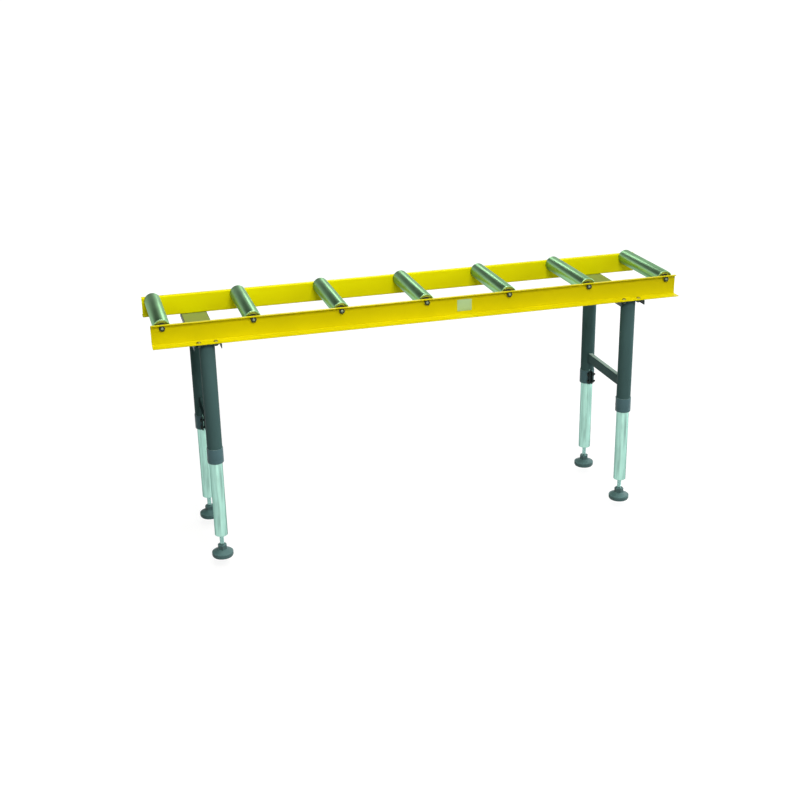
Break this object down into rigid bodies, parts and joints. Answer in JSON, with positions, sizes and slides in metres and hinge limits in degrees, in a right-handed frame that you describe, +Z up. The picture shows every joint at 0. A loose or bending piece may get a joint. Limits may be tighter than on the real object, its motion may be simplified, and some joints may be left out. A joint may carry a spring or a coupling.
{
  "type": "roller stand",
  "caption": "Long workshop roller stand: free-running zinc rollers between two yellow side rails, on telescopic clamped legs with screw feet for height and levelling.",
  "frame": {"origin": "on the floor, under the middle of the stand", "axes": "+X along the side rails to the right, +Y from the front rail to the rear rail, +Z up"},
  "size_m": [2, 0.442, 0.9415],
  "materials": {
    "yellow_paint": "semi-gloss powder coat",
    "grey_paint": "semi-gloss paint",
    "zinc_roller": "zinc plate",
    "zinc_tube": "zinc plate",
    "dark_steel": "dark oiled steel",
    "foot_rubber": "moulded",
    "plate": "matt"
  },
  "bodies": {
    "frame": {"side_rail_front": "yellow_paint", "side_rail_rear": "yellow_paint", "roller_1_axle": "dark_steel", "roller_2_axle": "dark_steel", "roller_3_axle": "dark_steel", "roller_4_axle": "dark_steel", "roller_5_axle": "dark_steel", "roller_6_axle": "dark_steel", "roller_7_axle": "dark_steel", "crossmember_left": "grey_paint", "leg_brace_left": "grey_paint", "crossmember_right": "grey_paint", "leg_brace_right": "grey_paint", "outer_leg_front_left": "grey_paint", "outer_leg_rear_left": "grey_paint", "outer_leg_front_right": "grey_paint", "outer_leg_rear_right": "grey_paint", "name_plate": "plate"},
    "roller_1": {"roller_1_tube": "zinc_roller", "roller_1_bearing_front": "zinc_roller", "roller_1_bearing_rear": "zinc_roller"},
    "roller_2": {"roller_2_tube": "zinc_roller", "roller_2_bearing_front": "zinc_roller", "roller_2_bearing_rear": "zinc_roller"},
    "roller_3": {"roller_3_tube": "zinc_roller", "roller_3_bearing_front": "zinc_roller", "roller_3_bearing_rear": "zinc_roller"},
    "roller_4": {"roller_4_tube": "zinc_roller", "roller_4_bearing_front": "zinc_roller", "roller_4_bearing_rear": "zinc_roller"},
    "roller_5": {"roller_5_tube": "zinc_roller", "roller_5_bearing_front": "zinc_roller", "roller_5_bearing_rear": "zinc_roller"},
    "roller_6": {"roller_6_tube": "zinc_roller", "roller_6_bearing_front": "zinc_roller", "roller_6_bearing_rear": "zinc_roller"},
    "roller_7": {"roller_7_tube": "zinc_roller", "roller_7_bearing_front": "zinc_roller", "roller_7_bearing_rear": "zinc_roller"},
    "leg_front_left": {"inner_leg_front_left": "zinc_tube"},
    "foot_front_left": {"foot_pad_front_left": "foot_rubber"},
    "spindle_front_left": {"foot_spindle_front_left": "zinc_tube"},
    "bolt_upper_front_left": {"clamp_bolt_upper_front_left": "dark_steel"},
    "bolt_lower_front_left": {"clamp_bolt_lower_front_left": "dark_steel"},
    "leg_rear_left": {"inner_leg_rear_left": "zinc_tube"},
    "foot_rear_left": {"foot_pad_rear_left": "foot_rubber"},
    "spindle_rear_left": {"foot_spindle_rear_left": "zinc_tube"},
    "bolt_upper_rear_left": {"clamp_bolt_upper_rear_left": "dark_steel"},
    "bolt_lower_rear_left": {"clamp_bolt_lower_rear_left": "dark_steel"},
    "leg_front_right": {"inner_leg_front_right": "zinc_tube"},
    "foot_front_right": {"foot_pad_front_right": "foot_rubber"},
    "spindle_front_right": {"foot_spindle_front_right": "zinc_tube"},
    "bolt_upper_front_right": {"clamp_bolt_upper_front_right": "dark_steel"},
    "bolt_lower_front_right": {"clamp_bolt_lower_front_right": "dark_steel"},
    "leg_rear_right": {"inner_leg_rear_right": "zinc_tube"},
    "foot_rear_right": {"foot_pad_rear_right": "foot_rubber"},
    "spindle_rear_right": {"foot_spindle_rear_right": "zinc_tube"},
    "bolt_upper_rear_right": {"clamp_bolt_upper_rear_right": "dark_steel"},
    "bolt_lower_rear_right": {"clamp_bolt_lower_rear_right": "dark_steel"}
  },
  "joints": [
    {"name": "roller_1_spin", "type": "hinge", "parent": "frame", "child": "roller_1", "pos_m": [-0.96, 0, 0.9115], "axis": [0, 1, 0], "continuous": true},
    {"name": "roller_2_spin", "type": "hinge", "parent": "frame", "child": "roller_2", "pos_m": [-0.64, 0, 0.9115], "axis": [0, 1, 0], "continuous": true},
    {"name": "roller_3_spin", "type": "hinge", "parent": "frame", "child": "roller_3", "pos_m": [-0.32, 0, 0.9115], "axis": [0, 1, 0], "continuous": true},
    {"name": "roller_4_spin", "type": "hinge", "parent": "frame", "child": "roller_4", "pos_m": [0, 0, 0.9115], "axis": [0, 1, 0], "continuous": true},
    {"name": "roller_5_spin", "type": "hinge", "parent": "frame", "child": "roller_5", "pos_m": [0.32, 0, 0.9115], "axis": [0, 1, 0], "continuous": true},
    {"name": "roller_6_spin", "type": "hinge", "parent": "frame", "child": "roller_6", "pos_m": [0.64, 0, 0.9115], "axis": [0, 1, 0], "continuous": true},
    {"name": "roller_7_spin", "type": "hinge", "parent": "frame", "child": "roller_7", "pos_m": [0.96, 0, 0.9115], "axis": [0, 1, 0], "continuous": true},
    {"name": "leg_front_left_height", "type": "slide", "parent": "frame", "child": "leg_front_left", "axis": [0, 0, 1], "range_m": [-0.007, 0.29]},
    {"name": "foot_front_left_level", "type": "slide", "parent": "leg_front_left", "child": "foot_front_left", "axis": [0, 0, 1], "range_m": [-0.04, 0.03]},
    {"name": "spindle_front_left_turn", "type": "hinge", "parent": "foot_front_left", "child": "spindle_front_left", "pos_m": [-0.81, -0.176, 0.09], "axis": [0, 0, 1], "range_deg": [-7200, 5400]},
    {"name": "clamp_upper_front_left_turn", "type": "hinge", "parent": "frame", "child": "bolt_upper_front_left", "pos_m": [-0.81, -0.1394, 0.4271], "axis": [-1, 0, 0], "range_deg": [0, 360]},
    {"name": "clamp_lower_front_left_turn", "type": "hinge", "parent": "frame", "child": "bolt_lower_front_left", "pos_m": [-0.81, -0.1394, 0.3971], "axis": [-1, 0, 0], "range_deg": [0, 360]},
    {"name": "leg_rear_left_height", "type": "slide", "parent": "frame", "child": "leg_rear_left", "axis": [0, 0, 1], "range_m": [-0.007, 0.29]},
    {"name": "foot_rear_left_level", "type": "slide", "parent": "leg_rear_left", "child": "foot_rear_left", "axis": [0, 0, 1], "range_m": [-0.04, 0.03]},
    {"name": "spindle_rear_left_turn", "type": "hinge", "parent": "foot_rear_left", "child": "spindle_rear_left", "pos_m": [-0.81, 0.176, 0.09], "axis": [0, 0, 1], "range_deg": [-7200, 5400]},
    {"name": "clamp_upper_rear_left_turn", "type": "hinge", "parent": "frame", "child": "bolt_upper_rear_left", "pos_m": [-0.81, 0.1394, 0.4271], "axis": [-1, 0, 0], "range_deg": [0, 360]},
    {"name": "clamp_lower_rear_left_turn", "type": "hinge", "parent": "frame", "child": "bolt_lower_rear_left", "pos_m": [-0.81, 0.1394, 0.3971], "axis": [-1, 0, 0], "range_deg": [0, 360]},
    {"name": "leg_front_right_height", "type": "slide", "parent": "frame", "child": "leg_front_right", "axis": [0, 0, 1], "range_m": [-0.007, 0.29]},
    {"name": "foot_front_right_level", "type": "slide", "parent": "leg_front_right", "child": "foot_front_right", "axis": [0, 0, 1], "range_m": [-0.04, 0.03]},
    {"name": "spindle_front_right_turn", "type": "hinge", "parent": "foot_front_right", "child": "spindle_front_right", "pos_m": [0.81, -0.176, 0.09], "axis": [0, 0, 1], "range_deg": [-7200, 5400]},
    {"name": "clamp_upper_front_right_turn", "type": "hinge", "parent": "frame", "child": "bolt_upper_front_right", "pos_m": [0.81, -0.1394, 0.4271], "axis": [-1, 0, 0], "range_deg": [0, 360]},
    {"name": "clamp_lower_front_right_turn", "type": "hinge", "parent": "frame", "child": "bolt_lower_front_right", "pos_m": [0.81, -0.1394, 0.3971], "axis": [-1, 0, 0], "range_deg": [0, 360]},
    {"name": "leg_rear_right_height", "type": "slide", "parent": "frame", "child": "leg_rear_right", "axis": [0, 0, 1], "range_m": [-0.007, 0.29]},
    {"name": "foot_rear_right_level", "type": "slide", "parent": "leg_rear_right", "child": "foot_rear_right", "axis": [0, 0, 1], "range_m": [-0.04, 0.03]},
    {"name": "spindle_rear_right_turn", "type": "hinge", "parent": "foot_rear_right", "child": "spindle_rear_right", "pos_m": [0.81, 0.176, 0.09], "axis": [0, 0, 1], "range_deg": [-7200, 5400]},
    {"name": "clamp_upper_rear_right_turn", "type": "hinge", "parent": "frame", "child": "bolt_upper_rear_right", "pos_m": [0.81, 0.1394, 0.4271], "axis": [-1, 0, 0], "range_deg": [0, 360]},
    {"name": "clamp_lower_rear_right_turn", "type": "hinge", "parent": "frame", "child": "bolt_lower_rear_right", "pos_m": [0.81, 0.1394, 0.3971], "axis": [-1, 0, 0], "range_deg": [0, 360]}
  ],
  "couplings": [
    {"joint": "spindle_front_left_turn", "follows": "foot_front_left_level", "rad_per_m": 3141.6},
    {"joint": "spindle_rear_left_turn", "follows": "foot_rear_left_level", "rad_per_m": 3141.6},
    {"joint": "spindle_front_right_turn", "follows": "foot_front_right_level", "rad_per_m": 3141.6},
    {"joint": "spindle_rear_right_turn", "follows": "foot_rear_right_level", "rad_per_m": 3141.6}
  ]
}
